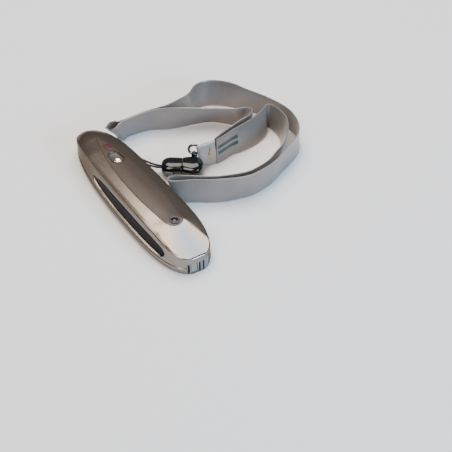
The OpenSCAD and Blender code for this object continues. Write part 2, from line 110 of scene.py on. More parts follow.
def lathe(profile, place, steps=64):
    """A profile of (radius, height) turned about the vertical through place."""
    x, y = place
    return loft([[(x + r * math.cos(a), y + r * math.sin(a), z) for a in turn(steps)] for r, z in profile])


def cut(obj, tools, angle=32):
    """Subtracts closed tools, each given as (points, faces), and tidies the result."""
    for points, faces in tools:
        tool = add_mesh("tool", points, faces)
        tidy_mesh(tool, angle)
        mod = obj.modifiers.new("cut", "BOOLEAN")
        mod.operation = "DIFFERENCE"
        mod.solver = "EXACT"
        mod.object = tool
        depsgraph = bpy.context.evaluated_depsgraph_get()
        result = bpy.data.meshes.new_from_object(obj.evaluated_get(depsgraph))
        obj.modifiers.clear()
        obj.data = result
        bpy.data.objects.remove(tool)
    tidy_mesh(obj, angle)


def block(low, high):
    """Points and faces of a box."""
    (x0, y0, z0), (x1, y1, z1) = low, high
    rings = [[(x, y0, z0), (x, y1, z0), (x, y1, z1), (x, y0, z1)] for x in (x0, x1)]
    return loft(rings)


def post(x, y, radius, z0, z1, steps=40):
    """Points and faces of an upright cylinder."""
    return lathe([(radius, z0), (radius, z1)], (x, y), steps)


# ---------------- materials


def nodes_of(name):
    """A new material with its node tree, shader and object coordinates."""
    mat = bpy.data.materials.new(name)
    mat.use_nodes = True
    tree = mat.node_tree
    shader = tree.nodes["Principled BSDF"]
    coords = tree.nodes.new("ShaderNodeTexCoord")
    return mat, tree, shader, coords.outputs["Object"]


def noise(tree, coords, scale, detail=4):
    """A 0 to 1 noise value; scale counts its patches in a metre."""
    node = tree.nodes.new("ShaderNodeTexNoise")
    node.inputs["Scale"].default_value = scale
    node.inputs["Detail"].default_value = detail
    node.inputs["Roughness"].default_value = 0.55
    tree.links.new(coords, node.inputs["Vector"])
    return node.outputs["Fac"]


def ramp(tree, fac, stops):
    """A colour ramp from (position, colour) stops."""
    node = tree.nodes.new("ShaderNodeValToRGB")
    elements = node.color_ramp.elements
    while len(elements) < len(stops):
        elements.new(0.5)
    for element, (at, colour) in zip(elements, stops):
        element.position = at
        element.color = (*colour, 1)
    tree.links.new(fac, node.inputs["Fac"])
    return node.outputs["Color"]


def span(tree, fac, low, high):
    """Maps a 0 to 1 value to low to high."""
    node = tree.nodes.new("ShaderNodeMapRange")
    node.inputs["To Min"].default_value = low
    node.inputs["To Max"].default_value = high
    tree.links.new(fac, node.inputs["Value"])
    return node.outputs["Result"]


def bump(tree, shader, height, strength, distance):
    """Lets a height value disturb the shader's normal; distance is in metres."""
    node = tree.nodes.new("ShaderNodeBump")
    node.inputs["Strength"].default_value = strength
    node.inputs["Distance"].default_value = distance
    tree.links.new(height, node.inputs["Height"])
    tree.links.new(node.outputs["Normal"], shader.inputs["Normal"])


def blend(tree, factor, under, over):
    """The colour under, covered by the fixed colour over where factor is 1."""
    mix = tree.nodes.new("ShaderNodeMix")
    mix.data_type = "RGBA"
    tree.links.new(factor, mix.inputs["Factor"])
    tree.links.new(under, mix.inputs["A"])
    mix.inputs["B"].default_value = (*over, 1)
    return mix.outputs["Result"]


def shade(colour, k):
    """The colour made darker or lighter by the factor k."""
    return tuple(min(1.0, c * k) for c in colour)


def patchy(tree, fac, colour, down, up):
    """The colour, varying between two factors of itself with a 0 to 1 value."""
    return ramp(tree, fac, [(0.3, shade(colour, down)), (0.7, shade(colour, up))])


def surface(name, colour, rough=(0.35, 0.45), metal=0.0, vary=0.08, patch=120, grain=2500,
            grain_depth=0.00002, coat=0.0, sheen=0.0, specular=0.5, edge_tint=(1, 1, 1)):
    """A procedural finish: patchy colour and gloss over fine grain.

    rough is the least and most roughness, patch and grain are noise scales, and edge_tint colours
    what is reflected at a flat angle.
    """
    mat, tree, shader, coords = nodes_of(name)
    tint = patchy(tree, noise(tree, coords, patch), colour, 1 - vary, 1 + vary)
    tree.links.new(tint, shader.inputs["Base Color"])
    tree.links.new(span(tree, noise(tree, coords, patch * 2.3), *rough), shader.inputs["Roughness"])
    shader.inputs["Metallic"].default_value = metal
    shader.inputs["Specular IOR Level"].default_value = specular
    shader.inputs["Specular Tint"].default_value = (*edge_tint, 1)
    shader.inputs["Coat Weight"].default_value = coat
    shader.inputs["Coat Roughness"].default_value = 0.12
    shader.inputs["Sheen Weight"].default_value = sheen
    bump(tree, shader, noise(tree, coords, grain, 2), 0.35, grain_depth)
    return mat


THREAD = 0.35
HEM = 0.75
STRIPE_RUN = (0.8, 15.0)
STRIPE_MIDDLE = 0.6
STRIPE_OFFSET = 1.7
STRIPE_HALF = 1.05
STRIPE_COLOUR = (0.012, 0.04, 0.045)


def cloth(name, colour, gloss=0.34, stripes=False):
    """Satin: long floats along the ribbon, read from the piece's own weave attribute (mm)."""
    mat, tree, shader, coords = nodes_of(name)
    weave = tree.nodes.new("ShaderNodeAttribute")
    weave.attribute_name = "weave"
    split = tree.nodes.new("ShaderNodeSeparateXYZ")
    tree.links.new(weave.outputs["Vector"], split.inputs["Vector"])

    def calc(kind, a, b=None):
        """One maths node on numbers or sockets."""
        node = tree.nodes.new("ShaderNodeMath")
        node.operation = kind
        for socket, value in zip(node.inputs, (a, b)):
            if value is None:
                continue
            if isinstance(value, (int, float)):
                socket.default_value = value
            else:
                tree.links.new(value, socket)
        return node.outputs[0]

    run, offset = split.outputs["X"], split.outputs["Y"]
    across = calc("SINE", calc("MULTIPLY", offset, 2 * math.pi / THREAD))
    along = calc("SINE", calc("MULTIPLY", run, 2 * math.pi / (THREAD * 2.2)))
    threads = calc("ADD", calc("MULTIPLY", across, 0.6), calc("MULTIPLY", along, 0.4))
    patches = noise(tree, coords, 90)
    tint = patchy(tree, patches, colour, 0.92, 1.07)
    # The woven edges are a shade lighter
    rim = calc("GREATER_THAN", calc("ABSOLUTE", offset), RIBBON_W / 2 - HEM)
    tint = blend(tree, rim, tint, shade(colour, 1.25))
    if stripes:
        # Two short woven stripes just after the sewn end
        start, end = STRIPE_RUN
        inside = calc("MULTIPLY", calc("GREATER_THAN", run, start), calc("LESS_THAN", run, end))
        from_middle = calc("ABSOLUTE", calc("SUBTRACT", offset, STRIPE_MIDDLE))
        from_stripe = calc("ABSOLUTE", calc("SUBTRACT", from_middle, STRIPE_OFFSET))
        band = calc("MULTIPLY", inside, calc("LESS_THAN", from_stripe, STRIPE_HALF))
        tint = blend(tree, band, tint, STRIPE_COLOUR)
    tree.links.new(tint, shader.inputs["Base Color"])
    tree.links.new(span(tree, patches, gloss - 0.05, gloss + 0.08), shader.inputs["Roughness"])
    shader.inputs["Metallic"].default_value = 0.4
    shader.inputs["Sheen Weight"].default_value = 0.25
    bump(tree, shader, threads, 0.25, 0.00003)
    return mat


def give(obj, mat):
    """Covers the object with one material."""
    obj.data.materials.clear()
    obj.data.materials.append(mat)


SILVER = surface("silver_paint", (0.26, 0.228, 0.2), (0.19, 0.24), metal=0.92, vary=0.03, patch=60,
                 grain=5200, grain_depth=0.000008, edge_tint=(0.3, 0.28, 0.26))
PANEL = surface("panel_brown", (0.062, 0.045, 0.034), (0.32, 0.42), metal=0.2, vary=0.1, patch=90,
                grain=4200, grain_depth=0.000008)
INLAY = surface("inlay_red", (0.07, 0.014, 0.014), (0.35, 0.5), vary=0.15, patch=300)
GRIP = surface("grip_black", (0.008, 0.008, 0.01), (0.45, 0.6), vary=0.3, patch=220, grain=1800,
               grain_depth=0.00006, specular=0.12)
CHROME = surface("chrome", (0.86, 0.86, 0.88), (0.05, 0.11), metal=1.0, vary=0.02, patch=260)
LAMP_RING = surface("lamp_ring", (0.11, 0.085, 0.1), (0.25, 0.38), metal=0.6, vary=0.08, patch=240)
LENS = surface("lamp_lens", (0.012, 0.005, 0.006), (0.06, 0.12), vary=0.2, patch=300, coat=0.2)
BEZEL = surface("bezel_grey", (0.17, 0.17, 0.165), (0.3, 0.45), metal=0.3, vary=0.1, patch=300)
# Near black for the bezel's sunk faces: painted shade in its slots and window recess
SLOT_PAINTED_SHADE = surface("slot_painted_shade", (0.01, 0.01, 0.012), (0.5, 0.65), vary=0.2, patch=400)
WINDOW = surface("window_clear", (0.17, 0.21, 0.17), (0.1, 0.18), vary=0.1, patch=300, coat=0.5)
BLACK = surface("moulded_black", (0.012, 0.012, 0.014), (0.35, 0.5), vary=0.25, patch=250)
CLIP = surface("clip_gloss", (0.004, 0.004, 0.005), (0.1, 0.16), vary=0.2, patch=200, coat=0.15,
               grain=1500, grain_depth=0.00001)
CLIP_TAB = surface("clip_tab", (0.09, 0.09, 0.095), (0.35, 0.45), vary=0.1, patch=300)
STEEL = surface("plated_steel", (0.58, 0.57, 0.56), (0.2, 0.34), metal=1.0, vary=0.08, patch=300)
DARK_STEEL = surface("dark_nickel", (0.22, 0.22, 0.23), (0.2, 0.34), metal=1.0, vary=0.12, patch=400)
BRASS = surface("brass", (0.62, 0.42, 0.14), (0.22, 0.34), metal=1.0, vary=0.1, patch=400)
BOARD = surface("solder_mask", (0.015, 0.09, 0.035), (0.25, 0.4), vary=0.2, patch=500, coat=0.5)
CORD = surface("string_black", (0.006, 0.006, 0.007), (0.6, 0.75), vary=0.3, patch=900, sheen=0.3)
SATIN = cloth("ribbon_satin", (0.21, 0.185, 0.17), stripes=True)
SEWN = cloth("sewn_satin", (0.34, 0.3, 0.275), gloss=0.42)

# ---------------- camera


def aimed(data, place, aim):
    """A camera or light in the scene, turned from its place towards aim."""
    obj = bpy.data.objects.new(data.name, data)
    obj.location = place
    obj.rotation_euler = (Vector(aim) - Vector(place)).to_track_quat("-Z", "Y").to_euler()
    bpy.context.collection.objects.link(obj)
    return obj


CAMERA_AT = Vector((-166.4, -337.2, 305.2)) * MM
CAMERA_AIM = Vector((27.2, -36.8, 0)) * MM
lens = bpy.data.cameras.new("camera")
lens.sensor_width = 36
lens.lens = 79.65
lens.clip_start = 0.01
bpy.context.scene.camera = aimed(lens, CAMERA_AT, CAMERA_AIM)

# ---------------- cords


def smooth_route(route, per):
    """Centripetal spline through the route's points, with per points for each stretch."""
    q = [np.array(p, float) for p in route]
    q = [2 * q[0] - q[1]] + q + [2 * q[-1] - q[-2]]
    out = []
    for i in range(1, len(q) - 2):
        a, b, c, d = q[i - 1:i + 3]
        t1 = np.linalg.norm((b - a)[:3]) ** 0.5
        t2 = t1 + np.linalg.norm((c - b)[:3]) ** 0.5
        t3 = t2 + np.linalg.norm((d - c)[:3]) ** 0.5
        for k in range(per):
            t = t1 + (t2 - t1) * k / per
            ab = (t1 - t) / t1 * a + t / t1 * b
            bc = (t2 - t) / (t2 - t1) * b + (t - t1) / (t2 - t1) * c
            cd = (t3 - t) / (t3 - t2) * c + (t - t2) / (t3 - t2) * d
            abc = (t2 - t) / t2 * ab + t / t2 * bc
            bcd = (t3 - t) / (t3 - t1) * bc + (t - t1) / (t3 - t1) * cd
            out.append((t2 - t) / (t2 - t1) * abc + (t - t1) / (t2 - t1) * bcd)
    out.append(q[-2])
    return np.array(out)


def even(line, step):
    """The line again, with points about step apart, and the distance along it."""
    run = np.concatenate([[0], np.cumsum(np.linalg.norm(np.diff(line[:, :3], axis=0), axis=1))])
    at = np.linspace(0, run[-1], max(2, round(run[-1] / step) + 1))
    return np.stack([np.interp(at, run, line[:, k]) for k in range(line.shape[1])], axis=1), at


# Places that the ribbon passes: x, y, and the x and y offset of its top edge from its lower edge
RIBBON_ROUTE = [
    (49.3, 6.3, -1.4, -0.2), (54, 7.3, 0, 0.4), (60, 8.9, 0, 0.8), (66, 9.5, 0, 2.6),
    (73.5, 10.8, 0, 3.6), (80.5, 13.2, -1, 4), (85, 15.8, -1, 3), (88.8, 19, 0, 0),
    (90.2, 16.8, 1, 0), (90, 7, 2, -2), (87, 0.6, 2, -3), (82, -5.6, 2, -4),
    (76.2, -10.4, 1, -5), (69.8, -13.6, 0, -6), (62.8, -17.3, 0, -6), (56, -19, 0, -6),
    (49.4, -20, 0, -5.4), (36, -16, 0, -5), (30, -14, -1, -3), (18.8, -7.4, -4, 1),
    (15, -7.8, -4.4, 2), (16, -10, -4.4, 1), (24.4, -15.4, -2, 0), (30, -19, 0, -1),
    (36.6, -22.3, 0, -1), (43.6, -24.7, 0, -2), (50, -25.6, 0, -2), (63, -23, 0, -2),
    (72.2, -18.6, 0, -2), (80.8, -14.4, -1, -2), (88.6, -9.2, -2, -2), (93.6, -2.6, -2, -1),
    (96, 5, -2, 0), (96.2, 12.2, -2, 0), (93.2, 25.6, -2, -1), (87.2, 38, 0, -1),
    (84, 44.8, 1, 1), (79.2, 51, 1, 3), (73, 54.8, 0, 3), (66.6, 54.6, -1, 1),
    (60, 51, -1, -1.6), (53, 49.8, 0, -2.8), (45, 50, 0, -4.6), (36, 51, 0, -4.8),
    (28, 51.4, -2, -5), (20.6, 52.2, -6.4, -5.2), (17, 51.9, -9, -4.6), (15.2, 50.4, -10, -4),
    (17, 49, -9, -3.6), (21, 49.4, -6, -3.8), (28, 49.4, -2, -3.6), (36, 48.4, 0, -3.2),
    (44, 44.6, 0, -2), (52, 41.4, 0, -4), (59.6, 38.6, -1, -6), (66, 35.6, -2, -6.4),
    (70.8, 31, -3, -5), (75, 26.4, -3, -3), (78.8, 22.8, -1, -1), (79.6, 20, 0, -1),
    (76.6, 17.4, 0, -2), (68, 15.4, 0, -2.6), (62, 14.4, 0, -4), (55, 11.2, 0, -2.6),
    (49.3, 7.5, -1.4, -0.2),
]
# Points that the string passes: out of the clip, round the pin in the tail and back beside itself
STRING_ROUTE = [
    (23.2, 14.7, 4.2), (20.4, 17.6, 4.4), (16.6, 24.6, 4.8), (14.9, 30.4, 5.2), (13.3, 37, 5.6),
    (11.6, 43.8, 5.9), (9.4, 50.2, 6.2), (7, 54.8, 6.3), (4.3, 58, 6.3), (1.2, 58.9, 6.3),
    (-1, 57.4, 6.4), (-1.2, 55, 6.5), (-0.7, 53.1, 6.6), (0.7, 53.1, 6.6), (1.2, 55.2, 6.5),
    (2.4, 57.1, 6.4), (4.4, 56, 6.3), (6, 53.4, 6.3), (7.7, 50, 6.2), (9.9, 43.6, 5.9),
    (11.6, 36.8, 5.6), (13, 30, 5.2), (14.6, 24.2, 4.8), (19, 16.6, 4.4), (22.5, 13.7, 4.2),
]


def upright(dx, dy):
    """Unit direction from the ribbon's lower edge to its top edge."""
    return np.array([dx, dy, math.sqrt(RIBBON_W ** 2 - dx ** 2 - dy ** 2)]) / RIBBON_W


def unit(v):
    """The direction of v, one long."""
    return v / np.linalg.norm(v)


def set_weave(obj, values):
    """Stores where each point lies along and across the cloth, in millimetres."""
    layer = obj.data.attributes.new("weave", "FLOAT_VECTOR", "POINT")
    layer.data.foreach_set("vector", np.array(values, dtype=np.float32).ravel())


def make_ribbon():
    """Neck ribbon on its edge, with its path and length in metres."""
    rows = []
    for x, y, dx, dy in RIBBON_ROUTE:
        u = upright(dx, dy)
        rows.append((x, y, RIBBON_W * u[2] / 2 + FLOOR_GAP, dx, dy))
    line, run = even(smooth_route(rows, 14), 0.7)
    heading = np.gradient(line[:, :3], axis=0)
    half = RIBBON_W / 2 - 0.12
    columns = 22
    hem_power = 8
    rings = []
    weave = []
    for i, p in enumerate(line):
        u = upright(p[3], p[4])
        side = unit(np.cross(unit(heading[i]), u))
        up = unit(np.cross(side, unit(heading[i])))
        wave = 0.12 * math.sin(run[i] / 13.0) + 0.07 * math.sin(run[i] / 5.1 + 1)
        ring = []
        for face in (1, -1):
            for k in range(columns + 1):
                f = face * (-1 + 2 * k / columns)
                # Fuller woven edges, a slightly cupped middle, and a shallow ripple
                thick = RIBBON_T / 2 * (0.78 + 0.22 * abs(f) ** hem_power) * min(1.0, 14 * (1.03 - abs(f)))
                cup = 0.22 * (f * f - 0.4) * math.sin(run[i] / 31.0) + wave * (1 - 0.5 * f * f)
                place = p[:3] + half * f * up + (face * thick + cup) * side
                place[2] = max(place[2], FLOOR_GAP)
                ring.append(place)
                weave.append((run[i], half * f, face))
        rings.append(ring)
    points, faces = loft(rings)
    ribbon = build("neck_ribbon_satin", points, faces, slot="ribbon_satin", angle=50)
    set_weave(ribbon, weave)
    give(ribbon, SATIN)
    return ribbon, [tuple(p[:3] * MM) for p in line], run[-1] * MM


def make_string():
    """Braided lanyard string, with its path and length in metres."""
    line, run = even(smooth_route(STRING_ROUTE, 12), 0.28)
    heading = np.gradient(line, axis=0)
    rings = []
    for i, p in enumerate(line):
        t = unit(heading[i])
        s = unit(np.cross(t, (0, 0, 1)))
        u = np.cross(s, t)
        ring = []
        for a in turn(16):
            # Twisted strands stand out as two crossing sets of ridges
            twist = 1.9 * run[i]
            ridge = 0.06 * abs(math.cos(1.5 * a + twist)) + 0.05 * abs(math.cos(1.5 * a - twist))
            r = STRING_D / 2 * (0.9 + ridge)
            ring.append(p + r * (math.cos(a) * s + math.sin(a) * u))
        rings.append(ring)
    points, faces = loft(rings)
    string = build("lanyard_string_braid", points, faces, slot="string", angle=60)
    give(string, CORD)
    return string, [tuple(p * MM) for p in line], run[-1] * MM


ribbon, ribbon_path, ribbon_length = make_ribbon()
string, string_path, string_length = make_string()
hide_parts("neck_ribbon")
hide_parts("lanyard_string")

# ---------------- shape of the pod

# The pod lies along Y, with its sensor end at FRONT and the string at REAR
BODY_L = 113.6
BODY_W = 28.4
FRONT = -BODY_L / 2
REAR = BODY_L / 2
WIDE = -14.0
# Heights of the joint between the shells, the bowed back, the front wall's top and the tail's tip
PART_Z = 4.0
CROWN_Z = 16.3
CROWN_BOW = 0.0005
NOSE_Z = 9.0
TAIL_Z = 6.5
NOSE_SLOPE = 0.366
TAIL_START = 38.0
SIDE_LEAN = 2.4
RIDGE_DROP = 2.2
RIM_R = 0.8
WALL = 1.4
SEAM = 0.1
COVER_Y = 19.0
# The flat facet on the nose: place along the pod and half width, at its back and its front
HIP_BACK = (-38.4, 4.6)
HIP_FRONT = (-52.0, 9.9)
FACET_BOW = 0.3
# The dark panel, its pocket, and what sits in it
PANEL_MID = -8.0
PANEL_FRONT = -39.6
PANEL_REAR = 40.0
PANEL_W = 13.0
PANEL_NOSE_R = 4.7
POCKET_DEPTH = 0.9
BUTTON_Y = 17.6
BUTTON_Z = 16.7
BUTTON_HOLE_R = 2.35
SCOOP_RUN = 3.8
SCOOP_FRONT_R = 2.85
SCOOP_BACK_R = 2.45
LAMP_Y = -36.4
LAMP_Z = 16.4
LAMP_HOLE_R = 2.38
MARK = (0.7, 29.4)
MARK_HALF = (1.55, 2.15)


def lip_half(y):
    """Half width of the pod where it is widest, low on its side."""
    if y < WIDE:
        f = min(1.0, (WIDE - y) / (WIDE - FRONT + 0.02))
        return BODY_W / 2 * (1 - f ** 3) ** 0.35
    f = min(1.0, (y - WIDE) / (REAR - WIDE + 0.02))
    return BODY_W / 2 * (1 - f ** 2.2) ** 0.455


def fullness(y):
    """1 along the middle of the pod, and less as it narrows towards its ends."""
    return (2 * lip_half(y) / BODY_W) ** 4


def ridge_half(y):
    """Half width of the pod at the ridge between its side and its top."""
    return lip_half(y) - SIDE_LEAN * fullness(y)


def crown(y):
    """Height of the gently bowed back."""
    return CROWN_Z - CROWN_BOW * (y + 5) ** 2


def rim_drop(y, end):
    """Rounding of the top and the bottom where the pod ends."""
    s = abs(end - y)
    return 0.0 if s >= RIM_R else RIM_R * (1 - math.sqrt(max(0.0, 1 - (1 - s / RIM_R) ** 2)))


def top_z(y):
    """Height of the top along the pod's middle."""
    if y > TAIL_START:
        f = min(1.0, (y - TAIL_START) / (REAR - TAIL_START + 0.1))
        return TAIL_Z + (crown(TAIL_START) - TAIL_Z) * (1 - f ** 2.2) ** 0.6
    plane = NOSE_Z + NOSE_SLOPE * (y - FRONT)
    # The nose runs into the crown over a few millimetres
    k = 0.35
    flat = crown(y)
    low = min(plane, flat)
    return low - k * max(0.0, 1 - abs(plane - flat) / (4 * k)) ** 2 - rim_drop(y, FRONT)


def ridge_z(y):
    """Height of the ridge, which dips on the nose and falls away along the tail."""
    drop = RIDGE_DROP * min(1, (y - FRONT) / 18) * (2 * lip_half(y) / BODY_W) ** 1.5
    dip = 0.15 * math.exp(-((y + 49.5) / 5.0) ** 2)
    fall = 0.3 * (top_z(y) - TAIL_Z) * max(0.0, (y - 30) / (REAR - 30))
    return top_z(y) - drop - dip - fall


def base_z(y):
    """Height of the underside, which turns up behind PANEL_REAR."""
    rise = 0.0 if y < PANEL_REAR else 3 * ((y - PANEL_REAR) / (REAR - PANEL_REAR)) ** 2
    return rise + 0.6 * rim_drop(y, FRONT)


def smooth_step(a, b, x):
    """0 before a, 1 past b, and a smooth rise between them."""
    t = min(1.0, max(0.0, (x - a) / (b - a)))
    return t * t * (3 - 2 * t)


def hip_half(y):
    """Half width of the nose facet, which closes behind the panel's front corners."""
    f = (HIP_BACK[0] - y) / (HIP_BACK[0] - HIP_FRONT[0])
    x = HIP_BACK[1] + (HIP_FRONT[1] - HIP_BACK[1]) * f
    x *= 1 - smooth_step(-39, -27, y)
    return min(max(0.0, x), 0.97 * ridge_half(y))


def top_at(x, y):
    """Height of the top surface: a slightly bowed facet on the nose, and curved flanks."""
    r, hip = ridge_half(y), hip_half(y)
    bow = FACET_BOW * (1 - smooth_step(-42, -37, y)) * smooth_step(FRONT, FRONT + 6, y)
    if abs(x) <= hip:
        return top_z(y) - bow * (abs(x) / hip) ** 2
    power = 1.15 + 0.65 * smooth_step(-38, -25, y)
    start = top_z(y) - (bow if hip > 0.5 else 0)
    return start - (start - ridge_z(y)) * (min(1, (abs(x) - hip) / max(0.05, r - hip))) ** power


def wall_profile(y):
    """Smooth side wall from the base edge to the ridge, as arrays of height and half width."""
    w, r, b = lip_half(y), ridge_half(y), base_z(y)
    low = max(2.6, b + 1)
    rz = ridge_z(y)
    shoulder = r + 0.45 * fullness(y)
    side_top = min(11.3, rz - 1.0)
    knots = [(b, w * 0.82), (b + 0.7, w * 0.94), (low, w), (low + 2.4, w * 0.965),
             (max(side_top, low + 2.8), shoulder), (max(rz, low + 3.2), r)]
    curve = smooth_route([(x, 0, z) for z, x in knots], 8)
    heights = np.maximum.accumulate(curve[:, 2])
    return heights, curve[:, 0]


def wall_at(profile, z):
    """Half width of a wall profile at a height."""
    return float(np.interp(z, profile[0], profile[1]))


# Places along the pod, and the heights of the side recess's two edges there
# From the nose back to about y 14 the lower edge is set low (4.7 to 5.2), so the black grip also covers
# lip that lies in shade: painted shade
RECESS_LOW = (
    [-46, -45.4, -43.4, -41, -2, 14, 18, 21, 24],
    [8, 6.2, 4.9, 4.7, 4.7, 5.2, 5.6, 6.2, 7.9],
)
RECESS_HIGH = (
    [-46, -45.2, -44, -42, -36, -10, 9, 13, 16, 20, 24],
    [8, 9.2, 9.95, 10.5, 11.1, 11.3, 11.1, 10.65, 10.0, 9.0, 7.9],
)
RECESS_DEPTH = 1.5


def recess(y):
    """Lower and upper edge of the side recess, and its depth."""
    if y <= RECESS_LOW[0][0] or y >= RECESS_LOW[0][-1]:
        return 7.2, 8.8, 0.0
    low = float(np.interp(y, *RECESS_LOW))
    high = float(np.interp(y, *RECESS_HIGH))
    return low, high, min(RECESS_DEPTH, (high - low) * 0.6)


def panel_half(y):
    """Half width of the dark panel's pocket."""
    if y <= PANEL_FRONT or y >= PANEL_REAR:
        return 0.0
    if y < PANEL_FRONT + PANEL_NOSE_R:
        return math.sqrt(PANEL_NOSE_R ** 2 - (PANEL_FRONT + PANEL_NOSE_R - y) ** 2)
    if y < PANEL_MID:
        f = (PANEL_MID - y) / (PANEL_MID - PANEL_FRONT - PANEL_NOSE_R)
        return PANEL_NOSE_R + (PANEL_W / 2 - PANEL_NOSE_R) * math.cos(math.pi / 2 * f)
    f = (y - PANEL_MID) / (PANEL_REAR - PANEL_MID)
    return PANEL_W / 2 * (1 - f ** 2.1) ** 0.8


def y_of_half(x):
    """Where along the nose the lip's half width is x."""
    return max(FRONT, WIDE - (WIDE - FRONT + 0.02) * (1 - (x / (BODY_W / 2)) ** (1 / 0.35)) ** (1 / 3))


def spread(a, b, n):
    """n even places from a up to, but not including, b."""
    return [a + (b - a) * k / n for k in range(n)]


def pod_stations():
    """Places along the pod, closest where its outline turns."""
    half_widths = [0.4, 0.9, 1.5, 2.1, 2.6, 3.0, 3.3, 3.6, 3.9, 4.2, 4.6] + [5 + k / 2 for k in range(13)]
    nose = sorted(set(round(y_of_half(x), 4) for x in half_widths))
    # The front end of the recess
    rest = spread(-48.6, -46.2, 4)
    rest += [-46.0, -45.9, -45.7, -45.4, -45.0, -44.5, -44.0, -43.4, -42.7, -42, -41.2, -40.4]
    # The panel's front end
    rest += [-39.9, -39.6, -39.57, -39.5, -39.35, -39.1, -38.8, -38.3, -37.8, -37.2, -36.5, -35.8, -35.1]
    # The middle and the rear end of the recess
    rest += spread(-34.4, 10, 30) + spread(10, 23, 14) + [23, 23.4, 23.7, 23.9, 24.0, 24.1]
    # The panel's rear end
    rest += spread(25, 37, 10) + [37, 38, 38.8, 39.4, 39.8, 40.0, 40.1] + list(range(41, 50))
    tail = [REAR - s for s in (7.0, 6.2, 5.4, 4.6, 3.9, 3.2, 2.6, 2.0, 1.5, 1.1, 0.75, 0.45, 0.25, 0.1)]
    return nose + [y for y in rest if y > nose[-1] + 0.2] + tail


STATIONS = pod_stations()


def upper_half(y):
    """Outside of the upper housing at y, from the joint to the middle of the panel's pocket."""
    prof = wall_profile(y)
    z0 = PART_Z + SEAM
    low, high, depth = recess(y)
    rz = ridge_z(y)
    scale = min(1.0, lip_half(y) / 6)
    high = min(high, rz - 1.3 * scale)
    low = min(low, high - 0.3)
    pts = [(wall_at(prof, z0) - 0.18 * scale, z0), (wall_at(prof, z0 + 0.12), z0 + 0.14)]
    for f in (0.3, 0.6, 0.85):
        z = z0 + 0.14 + (low - z0 - 0.14) * f
        pts.append((wall_at(prof, z), z))
    # Side recess with rounded edges
    corner = min(0.22, (high - low) * 0.2)
    mid = (low + high) / 2
    x = wall_at(prof, low)
    pts += [(x, low - 0.12), (x - 0.15 * depth, low)]
    pts += [(x - depth, low + corner * 0.6), (x - depth, low + corner)]
    pts.append((wall_at(prof, mid) - depth, mid))
    x = wall_at(prof, high)
    pts += [(x - depth, high - corner), (x - depth, high - corner * 0.6)]
    pts += [(x - 0.15 * depth, high), (x, high + 0.12)]
    # Groove under the ridge, which fades out on the nose
    groove = 0.32 * smooth_step(-47, -42, y) * (1 - smooth_step(46, 53, y)) * scale
    middle = rz - 0.95 * scale
    for offset, sunk in ((-0.24, 0), (-0.12, 1), (0.06, 1), (0.18, 0)):
        z = middle + offset * scale
        pts.append((wall_at(prof, z) - groove * sunk, z))
    # Rounded ridge
    radius = 0.55 * scale
    shoulder = wall_at(prof, rz - radius)
    for a in (10, 35, 60, 85):
        c, s = math.cos(math.radians(a)), math.sin(math.radians(a))
        pts.append((shoulder - radius * (1 - c), rz - radius * (1 - s) - 0.02))
    # Flank down to the facet or the panel, then in to the panel's pocket
    start = shoulder - radius
    inner = max(0.12, panel_half(y))
    hip = min(max(hip_half(y), inner + 0.2 * scale), 0.93 * start)
    inner = min(inner, hip * 0.9)
    for a, b in ((start, hip), (hip, inner)):
        for k in range(1, 7):
            x = a + (b - a) * k / 6
            pts.append((x, top_at(x, y)))
    deep = POCKET_DEPTH if PANEL_FRONT < y < PANEL_REAR else 0.0
    z = top_at(inner, y)
    pts += [(inner - 0.02, z - deep * 0.12), (inner - 0.03, z - deep), (inner * 0.5, z - deep)]
    pts.append((0.02, z - deep))
    return pts


def inner_half(y, up):
    """Inside of the upper or lower shell at y, from the joint to the middle."""
    z0 = PART_Z + (SEAM if up else -SEAM)
    w = max(0.06, lip_half(y) - WALL - 0.4)
    r = max(0.05, ridge_half(y) - WALL - 0.4)
    if up:
        roof = z0 + 0.1
        if y > FRONT + 2:
            roof = max(roof, min(13.4, top_z(y) - 1.9))
        rise = roof - z0
        return [(w, z0), (w, z0 + 0.3 * rise), (r, z0 + 0.85 * rise), (r * 0.6, roof), (0.02, roof)]
    bed = z0 - 0.1
    if FRONT + 2 < y < REAR - 2:
        bed = min(bed, base_z(y) + WALL)
    return [(w, z0), (w, z0 - 0.5 * (z0 - bed)), (w * 0.85, bed), (w * 0.4, bed), (0.02, bed)]


def closed_ring(y, outside, inside):
    """A shell's section as one ring: over the outside, then back along the inside."""
    ring = [(x, y, z) for x, z in outside]
    ring += [(-x, y, z) for x, z in reversed(outside)]
    ring += [(-x, y, z) for x, z in inside]
    ring += [(x, y, z) for x, z in reversed(inside)]
    return ring


def lower_half(y):
    """Outside of the lower shell at y, from the joint down to the middle of the base."""
    prof = wall_profile(y)
    b = base_z(y)
    z0 = PART_Z - SEAM
    pts = [(wall_at(prof, z0) - 0.18 * min(1, lip_half(y) / 6), z0)]
    for f in (0.04, 0.2, 0.4, 0.6, 0.75, 0.86, 0.94, 0.985):
        z = z0 - (z0 - b) * f
        pts.append((wall_at(prof, z), z))
    edge = wall_at(prof, b)
    pts += [(edge * 0.985, b + 0.02), (edge * 0.8, b), (edge * 0.4, b), (0.02, b)]
    return pts


BEZEL_HALF = 5.6
BEZEL_LOW = 0.6
BEZEL_TOP = 6.4
BEZEL_GAP = 0.05
WINDOW_X = -2.1
WINDOW_HALF = 1.5
WINDOW_Z = (1.2, 5.6)
SLOT_PLACES = (-4.8, 0.5, 2.5)
SLOT_HALF = 0.35
SLOT_Z = (0.95, 5.8)
FRONT_CUT = block((-BEZEL_HALF - BEZEL_GAP, FRONT - 2, BEZEL_LOW - BEZEL_GAP),
                  (BEZEL_HALF + BEZEL_GAP, FRONT + 3.4, BEZEL_TOP + BEZEL_GAP))
SCREW_PLACES = [(x, y) for x in (-7.0, 7.0) for y in (-27, 9)]
SCREW_WELL_R = 1.9
SOUND_HOLE_Y = -12
SOUND_HOLE_X = (-3, 0, 3)
SOUND_HOLE_R = 0.5
COVER_GROOVE_Y = 26
COVER_GROOVE_PITCH = 2.2


